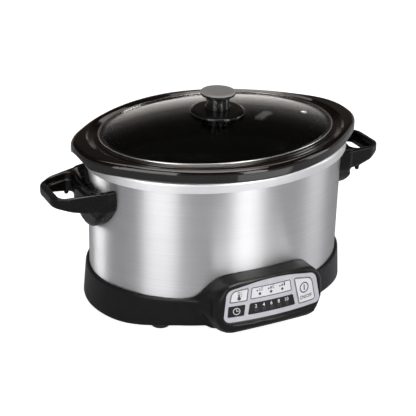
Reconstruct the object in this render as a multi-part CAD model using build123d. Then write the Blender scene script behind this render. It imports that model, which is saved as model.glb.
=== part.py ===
from build123d import *
import math
import os

os.makedirs("parts", exist_ok=True)

# ------------------------------------------------------------------ driving dimensions (mm)
# The oval's centre is the working origin, the control pod faces -Y, the table is Z = 0.
YC = 12.7                                   # shift of the oval's centre from the bounding box centre

# feet, base plate and skirt
FOOT_R, FOOT_H = 11.0, 9.0
FOOT_X, FOOT_Y = 94.0, 64.0
PLATE_A, PLATE_B, PLATE_Z0, PLATE_Z1 = 144.3, 109.5, 9.0, 11.0
SKIRT = [(7.0, 146.3, 111.4), (7.7, 147.2, 112.3), (9.2, 147.6, 112.8),
         (38.4, 144.0, 112.5), (39.7, 143.3, 111.9), (40.2, 142.3, 111.2)]
SKIRT_IN = [(0.0, 144.7, 109.9), (14.0, 144.7, 109.9), (30.5, 141.6, 109.6)]
LEDGE_A, LEDGE_B, LEDGE_Z0, LEDGE_Z1 = 134.5, 102.8, 30.5, 33.45
# outer shell
SHELL_A, SHELL_B, SHELL_T = 139.9, 109.4, 0.8
SHELL_Z0, SHELL_Z1 = 33.5, 166.8
SOCKET_GAP = 0.2
# heating well
WELL_RATIO = 0.77
WELL_FLOOR = 48.0
WELL_R0, WELL_R1 = 128.3, 131.3
RIM_R, RIM_Z0, RIM_Z1 = 145.6, 158.5, 168.9
# crock
CROCK_RATIO = 0.762
CROCK_Z0, CROCK_FLOOR = 52.0, 60.0
FLANGE_R, FLANGE_Z0, FLANGE_Z1 = 153.1, 169.2, 182.6
SEAT_Z = 178.4
FLANGE_B = 116.7
# flange outline: oval angle in degrees and factor on the oval, wider at the two ends
FLANGE_LOBE = [(0, 1.037), (8, 1.036), (14, 1.028), (18, 1.018), (22, 1.006), (27, 0.988), (36, 0.968), (48, 0.96), (62, 0.969), (76, 0.988), (90, 1.0)]
# finger scoop under each end of the flange
SCOOP_R, SCOOP_TOP, SCOOP_X = 51.0, 176.4, 146.8
# lid
LID_RATIO = 0.757
LID_R, BAND_Z0, BAND_Z1, BAND_T = 129.0, 178.6, 183.8, 0.6
GLASS_T, DOME_TOP = 3.9, 200.4
BAND_LAP = 2.0
DISC_R, DISC_TOP = 29.0, 203.2
CAP_R, CAP_TOP = 18.3, 222.6
# control pod and panel: panel frame has its own centre, tilt and plan radius
PANEL_TILT = 9.9
PANEL_R = 220.0
PANEL_O = (0.0, -136.6, 47.0)
FRAME_PROUD = 1.2
OVERLAY_T = 1.0
POD_WALL = 2.8
POD_HALF, POD_CORNER, POD_EDGE = 60.8, 6.5, 3.0
POD_TOP_SLOPE = 5.0
LIP = [(-48.0, -30.0, 2.0), (48.0, -30.0, 2.0), (48.0, -21.4, 1.0), (-48.0, -21.4, 1.0)]
LIP_PROUD = 2.8
POD_TOP = [(-80, 38.4), (-71.5, 42.0), (-63.8, 49.5), (-57, 58.0), (-49.5, 64.3), (-38, 67.2), (0, 68.2),
           (38, 67.2), (49.5, 64.3), (57, 58.0), (63.8, 49.5), (71.5, 42.0), (80, 38.4)]
OVERLAY = [(-56.6, -18.2, 5.5), (56.4, -18.2, 5.5), (51.2, 14.2, 9.0), (0, 24.2, 170.0), (-51.4, 14.8, 9.0)]
TEMP_KEY = [(-49.6, 2.2, 1.5), (-31.4, 2.2, 1.5), (-29.0, 15.6, 1.5), (-46.9, 14.0, 7.0)]
HOURS_KEY = [(-52.0, -12.7, 0.8), (-35.5, -12.7, 0.8), (-33.5, -1.8, 0.8), (-50.4, -1.8, 0.8)]
POWER_KEY = [(27.8, -13.8, 1.5), (49.6, -13.8, 3.0), (45.6, 11.2, 8.0), (22.6, 15.2, 1.5)]
KEY_GAP, KEY_PROUD, KEY_T = 0.35, 0.35, 1.4
TEMP_STEM, HOURS_STEM, POWER_STEM = (-39.0, 8.2), (-42.8, -7.2), (36.6, -0.4)
HEAT_LED = [(-17.3, 7.3), (-4.7, 7.3), (8.3, 7.3)]
TIME_LED = [(-21.8, -9.2), (-13.2, -9.2), (-4.6, -9.2), (4.2, -9.2), (13.2, -9.2)]
BOARD_N = -12.5
# handles: one moulding, turned half a turn for the other side
HANDLE_Y = 3.0
HANDLE_TOP, HANDLE_BOT, HANDLE_SLOPE = 146.5, 125.5, 4.6
HANDLE_RISE, HANDLE_RISE_X = 14.0, 158.0
HANDLE_OUT = [(-120, -45.0, 0), (-146, -39.6, 0), (-176, -31.2, 16), (-190, -21.0, 11),
              (-190, 21.0, 11), (-176, 31.2, 16), (-146, 39.6, 0), (-120, 45.0, 0)]
HANDLE_HOLE = [(-156.5, -27.5, 8), (-156.5, 27.5, 8), (-179, 23.0, 9), (-179, -23.0, 9)]
HANDLE_DISH = [(-154.0, -31.5, 10), (-154.0, 31.5, 10), (-183, 25.5, 12), (-183, -25.5, 12)]
TROUGH_HALF, TROUGH_DEEP, TROUGH_X = 34.0, 8.0, 157.5
BOSS_R, BOSS_ZC, BOSS_X = 41.0, 138.0, 150.5
SCREW_Y, SCREW_Z = 18.0, 128.0
# rear gland
GLAND_Z, GLAND_BORE_R = 22.0, 3.4


# ------------------------------------------------------------------ helpers
def rpoly(pts):
    """Face inside a closed polygon of (x, y, corner radius)."""
    n = len(pts)
    corners = []
    for i in range(n):
        x, y, r = pts[i]
        ux, uy = pts[i - 1][0] - x, pts[i - 1][1] - y
        vx, vy = pts[(i + 1) % n][0] - x, pts[(i + 1) % n][1] - y
        lu, lv = math.hypot(ux, uy), math.hypot(vx, vy)
        ux, uy, vx, vy = ux / lu, uy / lu, vx / lv, vy / lv
        if r <= 0:
            corners.append(((x, y), (x, y), None))
            continue
        ang = math.acos(max(-1.0, min(1.0, ux * vx + uy * vy)))
        t = r / math.tan(ang / 2)
        bx, by = ux + vx, uy + vy
        lb = math.hypot(bx, by)
        bx, by = bx / lb, by / lb
        d = r / math.sin(ang / 2)
        cx, cy = x + bx * d, y + by * d
        corners.append(((x + ux * t, y + uy * t), (x + vx * t, y + vy * t), (cx - bx * r, cy - by * r)))
    edges = []
    for i in range(n):
        a, b, m = corners[i]
        if m is not None:
            edges.append(ThreePointArc(a, m, b))
        nxt = corners[(i + 1) % n][0]
        if math.hypot(nxt[0] - b[0], nxt[1] - b[1]) > 1e-6:
            edges.append(Line(b, nxt))
    return make_face(edges)


def grow(pts, d):
    """Polygon pushed out by d (anticlockwise points), radii grown with it."""
    n = len(pts)
    out = []
    for i in range(n):
        x, y, r = pts[i]
        x0, y0 = pts[i - 1][:2]
        x1, y1 = pts[(i + 1) % n][:2]
        a, b = math.hypot(x - x0, y - y0), math.hypot(x1 - x, y1 - y)
        n0 = ((y - y0) / a, -(x - x0) / a)
        n1 = ((y1 - y) / b, -(x1 - x) / b)
        k = 1 + n0[0] * n1[0] + n0[1] * n1[1]
        out.append((x + d * (n0[0] + n1[0]) / k, y + d * (n0[1] + n1[1]) / k, max(r + d, 0.05)))
    return out


def oval(pts, ratio):
    """Profile of (radius, z, corner radius) turned about Z and squeezed in Y to an oval."""
    return scale(revolve(Plane.XZ * rpoly(pts), Axis.Z), by=(1, ratio, 1))


def turned(pts):
    return revolve(Plane.XZ * rpoly(pts), Axis.Z)


def oval_column(a, b, z0, z1):
    return Pos(0, 0, z0) * extrude(Ellipse(a, b), amount=z1 - z0)


def oval_stack(sections):
    return loft([Pos(0, 0, z) * Ellipse(a, b) for z, a, b in sections], ruled=True)


def rod(x, y, z0, z1, r):
    return Pos(x, y, (z0 + z1) / 2) * Cylinder(r, z1 - z0)


def rod_x(x0, x1, y, z, r):
    return Pos((x0 + x1) / 2, y, z) * Rot(0, 90, 0) * Cylinder(r, abs(x1 - x0))


def rod_y(x, y0, y1, z, r):
    return Pos(x, (y0 + y1) / 2, z) * Rot(90, 0, 0) * Cylinder(r, abs(y1 - y0))


def strip(pts, t):
    """Thin bent strip outline of thickness t round a polyline of (x, y)."""
    left, right = [], []
    n = len(pts)
    for i in range(n):
        dirs = []
        if i > 0:
            dirs.append((pts[i][0] - pts[i - 1][0], pts[i][1] - pts[i - 1][1]))
        if i < n - 1:
            dirs.append((pts[i + 1][0] - pts[i][0], pts[i + 1][1] - pts[i][1]))
        ns = []
        for dx, dy in dirs:
            q = math.hypot(dx, dy)
            ns.append((-dy / q, dx / q))
        sx, sy = sum(v[0] for v in ns), sum(v[1] for v in ns)
        if len(ns) == 2:
            k = 1 + ns[0][0] * ns[1][0] + ns[0][1] * ns[1][1]
            sx, sy = sx / k, sy / k
        left.append((pts[i][0] + sx * t / 2, pts[i][1] + sy * t / 2, 0))
        right.append((pts[i][0] - sx * t / 2, pts[i][1] - sy * t / 2, 0))
    return rpoly(left + right[::-1])


th = math.radians(PANEL_TILT)
PANEL = Plane(origin=PANEL_O, x_dir=(1, 0, 0), z_dir=(0, -math.cos(th), math.sin(th)))


def sag(u):
    return PANEL_R - math.sqrt(PANEL_R ** 2 - u * u)


def drum(r_extra):
    """Solid behind the panel's curved face, r_extra in front of it."""
    return PANEL * Pos(0, 0, -PANEL_R) * Rot(90, 0, 0) * Cylinder(PANEL_R + r_extra, 220)


def panel_prism(pts, n0=-40.0, n1=20.0):
    return PANEL * Pos(0, 0, n0) * extrude(rpoly(pts), amount=n1 - n0)


def panel_rod(u, w, n0, n1, r):
    return PANEL * Pos(u, w, (n0 + n1) / 2) * Cylinder(r, n1 - n0)


def panel_box(u, w, n0, n1, du, dw):
    return PANEL * Pos(u, w, (n0 + n1) / 2) * Box(du, dw, n1 - n0)


def save(shape, name):
    moved = Pos(0, YC, 0) * shape
    moved.label = name
    export_step(moved, f"parts/{name}.step")


def save_group(shapes, name):
    solids = []
    for s in shapes:
        solids += list((Pos(0, YC, 0) * s).solids())
    group = Compound(solids)
    group.label = name
    export_step(group, f"parts/{name}.step")


# ------------------------------------------------------------------ crock
body = oval([(0, CROCK_Z0, 0), (120.5, CROCK_Z0, 22), (127.5, FLANGE_Z0 + 4, 0), (135.0, FLANGE_Z0 + 4, 0), (135.0, SEAT_Z + 2, 0),
             (122.0, SEAT_Z + 2, 0), (114.0, CROCK_FLOOR, 24), (0, CROCK_FLOOR, 0)], CROCK_RATIO)
quarter = [(FLANGE_R * f * math.cos(math.radians(t)), FLANGE_B * f * math.sin(math.radians(t))) for t, f in FLANGE_LOBE]
outline = quarter + [(-x, y) for x, y in quarter[-2::-1]] + [(-x, -y) for x, y in quarter[1:]] + [(x, -y) for x, y in quarter[-2:0:-1]]
flange = Pos(0, 0, FLANGE_Z0) * extrude(make_face([Spline(*outline, periodic=True)]), amount=FLANGE_Z1 - FLANGE_Z0)
flange = fillet([e for e in flange.edges() if e.center().Z > FLANGE_Z1 - 0.1], 4.8)
flange = fillet([e for e in flange.edges() if e.center().Z < FLANGE_Z0 + 0.1], 2.0)
hollow = oval([(0, 300, 0), (144.0, 300, 0), (144.0, FLANGE_Z1 + 1.4, 0), (141.6, FLANGE_Z1, 2.0), (139.2, FLANGE_Z1 - 1.8, 0.5), (133.2, SEAT_Z, 2.5),
               (122.0, SEAT_Z, 2.5), (114.0, CROCK_FLOOR, 24), (0, CROCK_FLOOR, 0)], CROCK_RATIO)
crock = body + flange - hollow
for sx in (-1, 1):
    crock = crock - rod_x(sx * SCOOP_X, sx * 180, 0, SCOOP_TOP - SCOOP_R, SCOOP_R)
save(crock, "crock")

# ------------------------------------------------------------------ lid
rim_in = LID_R - 5.0
rise = DOME_TOP - (BAND_Z1 - 0.7)
dome_rad = (rim_in ** 2 + rise ** 2) / (2 * rise)


def dome_z(r, top):
    return top - dome_rad + math.sqrt(dome_rad ** 2 - r * r)


glass_top = BAND_Z1 - 0.7
glass_bot = glass_top - GLASS_T
glass_face = make_face([
    Line((0, DOME_TOP - GLASS_T), (0, DOME_TOP)),
    ThreePointArc((0, DOME_TOP), (rim_in / 2, dome_z(rim_in / 2, DOME_TOP)), (rim_in, glass_top)),
    Line((rim_in, glass_top), (LID_R - 0.7, glass_top)),
    Line((LID_R - 0.7, glass_top), (LID_R - 0.7, glass_bot)),
    Line((LID_R - 0.7, glass_bot), (rim_in, glass_bot)),
    ThreePointArc((rim_in, glass_bot), (rim_in / 2, dome_z(rim_in / 2, DOME_TOP - GLASS_T)), (0, DOME_TOP - GLASS_T)),
])
glass = scale(revolve(Plane.XZ * glass_face, Axis.Z), by=(1, LID_RATIO, 1)) - rod(0, 0, 180, 220, 3.2)
save(glass, "glass_lid")

band = oval([(LID_R - BAND_LAP, BAND_Z0, 0), (LID_R, BAND_Z0, 0.55), (LID_R, BAND_Z1, 0.9), (LID_R - BAND_LAP, BAND_Z1, 0),
             (LID_R - BAND_LAP, BAND_Z1 - BAND_T, 0), (LID_R - BAND_T, BAND_Z1 - BAND_T, 0.2),
             (LID_R - BAND_T, BAND_Z0 + 0.5, 0.2), (LID_R - BAND_LAP, BAND_Z0 + 0.5, 0)], LID_RATIO)
save(band, "lid_band")

dome_fill_face = make_face([
    Line((0, 180), (0, DOME_TOP + 0.1)),
    ThreePointArc((0, DOME_TOP + 0.1), (rim_in / 2, dome_z(rim_in / 2, DOME_TOP + 0.1)), (rim_in, glass_top + 0.1)),
    Line((rim_in, glass_top + 0.1), (rim_in, 180)),
    Line((rim_in, 180), (0, 180)),
])
dome_fill = scale(revolve(Plane.XZ * dome_fill_face, Axis.Z), by=(1, LID_RATIO, 1))
disc = turned([(0, 196, 0), (DISC_R, 196, 0), (DISC_R, 200.9, 1.2), (25.5, DISC_TOP - 0.5, 4), (14, DISC_TOP, 3), (0, DISC_TOP, 0)])
disc = disc - dome_fill - rod(0, 0, 190, 210, 2.6)
save(disc, "knob_escutcheon")

knob = turned([(0, DISC_TOP + 0.1, 0), (13.2, DISC_TOP + 0.1, 0.5), (13.2, 206.0, 0.6), (12.4, 207.0, 0.5), (12.4, 216.4, 1.0),
               (16.2, 217.4, 0.8), (CAP_R, 218.6, 1.0), (CAP_R, CAP_TOP - 0.6, 1.2), (15.2, CAP_TOP, 1.2),
               (11.5, CAP_TOP - 0.5, 4), (0, CAP_TOP - 0.7, 0)])
knob = knob - rod(0, 0, 200, 214.5, 2.55)
save(knob, "lid_knob")
save(rod(0, 0, 195.1, 196.1, 9.0) - rod(0, 0, 190, 200, 2.6), "knob_washer")
knob_screw = turned([(0, 192.4, 0), (4.0, 192.4, 0.8), (4.8, 195.05, 0.2), (2.5, 195.05, 0), (2.5, 213.6, 0.6), (0, 213.6, 0)])
knob_screw = knob_screw - Pos(0, 0, 192.8) * Box(7, 1.1, 1.6) - Pos(0, 0, 192.8) * Box(1.1, 7, 1.6)
save(knob_screw, "knob_screw")

# ------------------------------------------------------------------ heating well with its rolled rim
well = oval([(0, WELL_FLOOR, 0), (WELL_R0, WELL_FLOOR, 15), (WELL_R1, RIM_Z1 - 1.0, 0.8), (RIM_R - 1.2, RIM_Z1 - 1.0, 1.8),
             (RIM_R - 1.0, RIM_Z0, 0), (RIM_R, RIM_Z0, 0), (RIM_R - 0.2, RIM_Z1, 2.8), (WELL_R1 - 1.0, RIM_Z1, 1.8),
             (WELL_R0 - 1.0, WELL_FLOOR + 1.0, 14), (0, WELL_FLOOR + 1.0, 0)], WELL_RATIO)
save(well, "heating_well")


def well_r(z):
    return WELL_R0 + (WELL_R1 - WELL_R0) * (z - WELL_FLOOR) / (RIM_Z1 - 1.0 - WELL_FLOOR)


# heater band, its strap and the strap's screw
save(oval([(well_r(78) + 0.35, 78, 0), (well_r(78) + 3.35, 78, 0), (well_r(112) + 3.35, 112, 0), (well_r(112) + 0.35, 112, 0)],
          WELL_RATIO), "heater_band")
strap_r = well_r(98) + 3.35 + 0.25
strap = oval([(strap_r, 92, 0), (strap_r + 0.8, 92, 0), (strap_r + 0.8, 98, 0), (strap_r, 98, 0)], WELL_RATIO)
strap = strap - Pos(0, 100, 95) * Box(10, 20, 10)
strap_y = (strap_r + 0.4) * WELL_RATIO
for sx in (-1, 1):
    strap = strap + Pos(sx * 5.7, strap_y + 2.2, 95) * Box(1.4, 5.2, 6)
strap = strap - rod_x(-12, 12, strap_y + 2.6, 95, 1.3)
save(strap, "heater_strap")
strap_screw = rod_x(-8.5, 8.5, strap_y + 2.6, 95, 1.2) + rod_x(-10.0, -6.5, strap_y + 2.6, 95, 2.1) + rod_x(6.5, 8.4, strap_y + 2.6, 95, 2.1)
save(strap_screw, "strap_screw")

# thermal fuse and sensor under the well's floor
FX, FY = 34.0, -18.0
fuse_z = WELL_FLOOR - 2.25
save(rod_x(FX - 9, FX + 9, FY, fuse_z, 2.0) + rod_x(FX - 16, FX + 16, FY, fuse_z, 0.6), "thermal_fuse")
clip_face = Sketch() + Pos(FY, fuse_z) * Circle(3.0) - Pos(FY, fuse_z) * Circle(2.12)
clip_face = clip_face - Pos(FY, fuse_z + 5) * Rectangle(12, 10)
for sy in (-1, 1):
    clip_face = clip_face + Pos(FY + sy * 2.56, fuse_z + 1.05) * Rectangle(0.88, 2.1)
    clip_face = clip_face + Pos(FY + sy * 5.5, WELL_FLOOR - 0.55) * Rectangle(6.0, 0.9)
fuse_clip = Pos(FX - 3, 0, 0) * extrude(Plane.YZ * clip_face, amount=6)
save(fuse_clip, "fuse_clip")
SX, SY = -34.0, -20.0
save(Pos(SX, SY, 0) * turned([(0, 41.5, 0), (2.9, 41.5, 0.8), (2.9, 47.85, 0.2), (0, 47.85, 0)]), "temp_sensor")
save(Pos(SX, SY, 0) * turned([(3.05, 43, 0), (3.8, 43, 0), (3.8, 46.9, 0.3), (8.5, 46.9, 0), (8.5, 47.7, 0), (3.05, 47.7, 0)]), "sensor_clip")

# tie stud and nut
save(rod(0, 0, 5.0, WELL_FLOOR - 0.05, 2.5), "tie_stud")
save(Pos(0, 0, 5.6) * extrude(RegularPolygon(4.7, 6), amount=3.35) - rod(0, 0, 0, 20, 2.55), "tie_nut")

# ------------------------------------------------------------------ outer shell
shell = oval_column(SHELL_A, SHELL_B, SHELL_Z0, SHELL_Z1) - oval_column(SHELL_A - SHELL_T, SHELL_B - SHELL_T, SHELL_Z0 - 1, SHELL_Z1 + 1)
for sx in (-1, 1):
    for sy in (-1, 1):
        shell = shell - rod_x(sx * 120, sx * 150, -sx * HANDLE_Y + sy * SCREW_Y, SCREW_Z, 2.3)
save(shell, "outer_shell")

# ------------------------------------------------------------------ base skirt with the control pod
def pod_solid(inset):
    """Pod as the common part of its front view, its plan and its curved, tilted front."""
    k = inset
    top = [(x * (80 - k) / 80, z - k) for x, z in POD_TOP]
    edges = [Spline(*top), Line(top[-1], (80 - k, 9.5 + k * 0.5)), Line((80 - k, 9.5 + k * 0.5), (-80 + k, 9.5 + k * 0.5)),
             Line((-80 + k, 9.5 + k * 0.5), top[0])]
    front = Pos(0, -60, 0) * extrude(Plane.XZ * make_face(edges), amount=110)
    front = Pos(0, -SHELL_B, POD_TOP[6][1]) * Rot(-POD_TOP_SLOPE, 0, 0) * Pos(0, SHELL_B, -POD_TOP[6][1]) * front
    plan = Pos(0, 0, 0) * extrude(rpoly([(-79 + k, -60, 0), (-79 + k, -97, 9), (-63.5 + k, -112, 16), (-60.5 + k, -160, 0),
                                         (60.5 - k, -160, 0), (63.5 - k, -112, 16), (79 - k, -97, 9), (79 - k, -60, 0)]), amount=90)
    solid = front & plan
    return solid


def underside(lift):
    """Space under the pod's sloping bottom, raised by lift."""
    return Pos(-100, 0, 0) * extrude(Plane.YZ * rpoly([(-122, 8.4 + lift, 0), (-122, -20, 0), (-175, -20, 0), (-175, 38.2 + lift, 0)]), amount=200)


def pod_front(half, proud, corner):
    """Everything behind the pod's curved front, with rounded side corners, along the panel's own height."""
    rf = PANEL_R + proud
    na = proud - (rf - math.sqrt(rf ** 2 - half ** 2))
    face = make_face([
        Line((-110, -120), (110, -120)), Line((110, -120), (110, -30)), Line((110, -30), (half + 5, -28)),
        Line((half + 5, -28), (half, na)), ThreePointArc((half, na), (0, proud), (-half, na)),
        Line((-half, na), (-half - 5, -28)), Line((-half - 5, -28), (-110, -30)), Line((-110, -30), (-110, -120))])
    face = fillet([v for v in face.vertices() if abs(v.Y - na) < 0.01], corner)
    return PANEL * extrude(Plane.XZ * face, amount=90, both=True)


pod_sharp = (pod_solid(0.0) & pod_front(POD_HALF, FRAME_PROUD, POD_CORNER)) - underside(0.0)
pod = pod_sharp
try:
    pod = fillet([e for e in pod_sharp.edges() if e.center().Y < -121 and e.length > 3], POD_EDGE)
except Exception:
    pod = pod_sharp
pod_in = (pod_solid(POD_WALL) & pod_front(POD_HALF - POD_WALL, -OVERLAY_T - 0.05 - POD_WALL, POD_CORNER - POD_WALL)) - underside(POD_WALL + 0.6)
pod_in = pod_in - oval_column(SHELL_A + 2.6, SHELL_B + 2.6, LEDGE_Z0, 90)

# narrow lip under the panel frame
pod = pod + ((panel_prism(LIP, -12.0, 12.0) & drum(LIP_PROUD)) - underside(0.6))

skirt = oval_stack(SKIRT) + pod
skirt = skirt - oval_stack(SKIRT_IN)
skirt = skirt - oval_column(LEDGE_A, LEDGE_B, 20, 60)
skirt = skirt - oval_column(SHELL_A + SOCKET_GAP, SHELL_B + SOCKET_GAP, LEDGE_Z1, 90)
skirt = skirt - pod_in
# pocket for the panel, deeper pockets for the keys, and holes for stems and lamps
skirt = skirt - (panel_prism(grow(OVERLAY, 0.3)) - drum(-OVERLAY_T - 0.05))
for key, stem in ((TEMP_KEY, TEMP_STEM), (HOURS_KEY, HOURS_STEM), (POWER_KEY, POWER_STEM)):
    skirt = skirt - (panel_prism(grow(key, KEY_GAP)) - drum(-2.15))
    skirt = skirt - panel_rod(stem[0], stem[1], -20, 5, 2.9)
for u, w in HEAT_LED + TIME_LED:
    skirt = skirt - panel_rod(u, w, -20, 5, 1.9)
# bosses for the panel board and the base screws
for u in (-47.5, 47.5):
    skirt = skirt + panel_rod(u, 0, BOARD_N + 0.05, -sag(u) - 2.0, 2.5)
    skirt = skirt - panel_rod(u, 0, BOARD_N - 1, -sag(u) - 3.0, 1.05)
for sx in (-1, 1):
    for sy in (-1, 1):
        skirt = skirt + rod(sx * 125, sy * 44, PLATE_Z1 + 0.05, LEDGE_Z0 + 0.5, 4.6)
        skirt = skirt - rod(sx * 125, sy * 44, 5, 25, 1.75)
skirt = skirt - rod_y(0, 100, 125, GLAND_Z, 6.4)
save(skirt, "base_skirt")

# panel and keys
overlay = (panel_prism(OVERLAY) & drum(0)) - drum(-OVERLAY_T)
for key in (TEMP_KEY, HOURS_KEY, POWER_KEY):
    overlay = overlay - panel_prism(grow(key, KEY_GAP))
save(overlay, "control_overlay")
for key, stem, name in ((TEMP_KEY, TEMP_STEM, "temp"), (HOURS_KEY, HOURS_STEM, "hours"), (POWER_KEY, POWER_STEM, "power")):
    cap = (panel_prism(key) & drum(KEY_PROUD)) - drum(KEY_PROUD - KEY_T)
    cap = cap + panel_rod(stem[0], stem[1], BOARD_N + 4.45, -sag(stem[0]) - 0.5, 2.4)
    save(cap, f"{name}_key")
    save(panel_rod(stem[0], stem[1], BOARD_N + 1.9, BOARD_N + 4.4, 1.7), f"{name}_plunger")
switches = []
for stem in (TEMP_STEM, HOURS_STEM, POWER_STEM):
    switches.append(panel_box(stem[0], stem[1], BOARD_N, BOARD_N + 3.4, 6, 6) - panel_rod(stem[0], stem[1], BOARD_N + 1.0, BOARD_N + 6, 2.0))
save_group(switches, "switch_bodies")
save_group([panel_rod(u, w, BOARD_N + 0.02, -sag(u) - 1.35, 1.5) for u, w in HEAT_LED], "heat_leds")
save_group([panel_rod(u, w, BOARD_N + 0.02, -sag(u) - 1.35, 1.5) for u, w in TIME_LED], "time_leds")
board = panel_box(0, 0, BOARD_N - 1.6, BOARD_N, 100, 25)
for u in (-47.5, 47.5):
    board = board - panel_rod(u, 0, BOARD_N - 5, BOARD_N + 5, 1.3)
save(board, "control_board")
save_group([panel_rod(u, 0, BOARD_N - 3.0, BOARD_N - 1.62, 2.0) + panel_rod(u, 0, BOARD_N - 1.7, BOARD_N + 3.0, 1.0)
            for u in (-47.5, 47.5)], "board_screws")

# ------------------------------------------------------------------ base plate, feet, screws, gland
plate = oval_column(PLATE_A, PLATE_B, PLATE_Z0, PLATE_Z1) - rod(0, 0, 0, 20, 2.7)
pod_cut = pod_solid(0.0)
for sx in (-1, 1):
    for sy in (-1, 1):
        plate = plate - rod(sx * FOOT_X, sy * FOOT_Y, 0, 20, 4.1) - rod(sx * 125, sy * 44, 0, 20, 2.0)
for i in range(-3, 4):
    for y in (-40, 30):
        plate = plate - Pos(i * 12, y, 10) * Box(3, 18, 6)
save(plate, "base_plate")
foot = turned([(0, 0, 0), (FOOT_R - 1.2, 0, 0.8), (FOOT_R, FOOT_H - 0.02, 0.6), (4.0, FOOT_H - 0.02, 0), (4.0, 13.2, 0.8), (0, 13.2, 0)])
save_group([Pos(sx * FOOT_X, sy * FOOT_Y, 0) * foot for sx in (-1, 1) for sy in (-1, 1)], "feet")
base_screw = turned([(0, 6.6, 0), (3.2, 6.6, 0.6), (3.2, 8.95, 0.2), (1.7, 8.95, 0), (1.7, 24.5, 0.5), (0, 24.5, 0)]) - Pos(0, 0, 6.8) * Box(4.5, 0.9, 1.6) - Pos(0, 0, 6.8) * Box(0.9, 4.5, 1.6)
save_group([Pos(sx * 125, sy * 44, 0) * base_screw for sx in (-1, 1) for sy in (-1, 1)], "base_screws")
gland = rod_y(0, 113.1, 115.3, GLAND_Z, 8.5) + rod_y(0, 103.5, 113.3, GLAND_Z, 6.3) + rod_y(0, 103.5, 108.6, GLAND_Z, 7.4)
gland = gland - rod_y(0, 100, 120, GLAND_Z, GLAND_BORE_R)
save(gland, "cord_gland")

# ------------------------------------------------------------------ handles
loop = Pos(0, 0, HANDLE_BOT) * extrude(rpoly(HANDLE_OUT), amount=30)
above = Pos(-135, 0, HANDLE_TOP) * Rot(0, -HANDLE_SLOPE, 0) * Pos(0, 0, 30) * Box(240, 200, 60)
loop = loop - above
loop = loop - Pos(-HANDLE_RISE_X, 0, HANDLE_BOT) * Rot(0, HANDLE_RISE, 0) * Pos(-40, 0, -10) * Box(80, 200, 20)
loop = chamfer([e for e in loop.edges() if e.center().Z > HANDLE_TOP - 8 and e.center().X < -140], 1.2)
boss_face = Pos(0, BOSS_ZC) * Circle(BOSS_R) - Pos(0, HANDLE_TOP - 1 + 60) * Rectangle(200, 120)
boss = Pos(-BOSS_X, 0, 0) * extrude(Plane.YZ * boss_face, amount=40) - above
try:
    boss = fillet([e for e in boss.edges() if e.center().X < -BOSS_X + 0.1 and e.center().Z < HANDLE_TOP - 4], 5.0)
except Exception:
    pass
handle = loop + boss
hole = Pos(0, 0, 60) * extrude(rpoly(HANDLE_HOLE), amount=120)
dish = loft([Pos(0, 0, HANDLE_TOP - 9.0) * rpoly(HANDLE_HOLE), Pos(0, 0, HANDLE_TOP - 1.5) * rpoly(HANDLE_DISH)], ruled=True)
dish = dish + Pos(0, 0, HANDLE_TOP - 1.6) * extrude(rpoly(HANDLE_DISH), amount=10)
trough_r = (TROUGH_HALF ** 2 + TROUGH_DEEP ** 2) / (2 * TROUGH_DEEP)
handle = handle - hole - dish - rod_x(-TROUGH_X, -100, 0, HANDLE_TOP - 1 - TROUGH_DEEP + trough_r, trough_r)
handle = handle + rod(-157, 31.8, 119.4, HANDLE_BOT + 3.5, 2.4)
handle = Pos(0, HANDLE_Y, 0) * handle
handle = handle - oval_column(SHELL_A + 0.05, SHELL_B + 0.05, 60, 180)
for sy in (-1, 1):
    handle = handle - rod_x(-149, -120, HANDLE_Y + sy * SCREW_Y, SCREW_Z, 2.05)
save(handle, "left_handle")
save(Rot(0, 0, 180) * handle, "right_handle")
handle_screws = []
for sx in (-1, 1):
    for sy in (-1, 1):
        y = -sx * HANDLE_Y + sy * SCREW_Y
        x_in = (SHELL_A - SHELL_T) * math.sqrt(1 - (abs(y) + 4) ** 2 / (SHELL_B - SHELL_T) ** 2) - 0.1
        handle_screws.append(rod_x(sx * (x_in - 2.4), sx * x_in, y, SCREW_Z, 3.8) + rod_x(sx * (x_in - 0.5), sx * 148, y, SCREW_Z, 2.0))
save_group(handle_screws, "handle_screws")

# ------------------------------------------------------------------ power electronics in the base
pb = Pos(0, 46, 18.8) * Box(92, 54, 1.6)
posts = [(sx * 41, y) for sx in (-1, 1) for y in (24, 68)]
for x, y in posts:
    pb = pb - rod(x, y, 0, 40, 1.6)
save(pb, "power_board")
save_group([rod(x, y, PLATE_Z1 + 0.02, 17.98, 3.0) + rod(x, y, 17.0, 21.0, 1.5) for x, y in posts], "board_standoffs")
save(Pos(-24, 36, 19.62 + 7.75) * Box(19, 15.5, 15.5), "relay")
core = Pos(17, 47, 19.62 + 11) * Box(34, 14, 22) + Pos(17, 47, 19.62 + 10) * Box(20, 30, 18)
save(core, "transformer")
tb = Pos(-24, 62, 19.62 + 6) * Box(28, 11, 12)
for dx in (-9, 0, 9):
    tb = tb - rod(-24 + dx, 62, 27, 40, 2.4)
save(tb, "terminal_block")
ribbon_pts = [(PANEL_O[1] + 15.2, 37.0), (-117.0, 36.2), (-114.0, 33.0), (-112.0, 23.5), (-108.0, 22.5), (15.0, 22.5), (23.5, 20.6)]
ribbon = Pos(24, 0, 0) * extrude(Plane.YZ * strip(ribbon_pts, 0.8), amount=14)
save(ribbon, "ribbon_cable")
leads = []
for x in (-33.0, -15.0):
    yy = 97.3 * math.sqrt(1 - (abs(x) / 129.5) ** 2) + 3.3
    path = FilletPolyline((x, 62, 27.5), (x, 62, 38.5), (x, yy, 38.5), (x, yy, 77.8), radius=5)
    leads.append(sweep(Plane((x, 62, 27.5), x_dir=(1, 0, 0), z_dir=(0, 0, 1)) * Circle(1.0), path=path))
save_group(leads, "heater_leads")
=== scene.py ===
import math

import bpy
import numpy as np
from mathutils import Matrix, Vector


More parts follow.
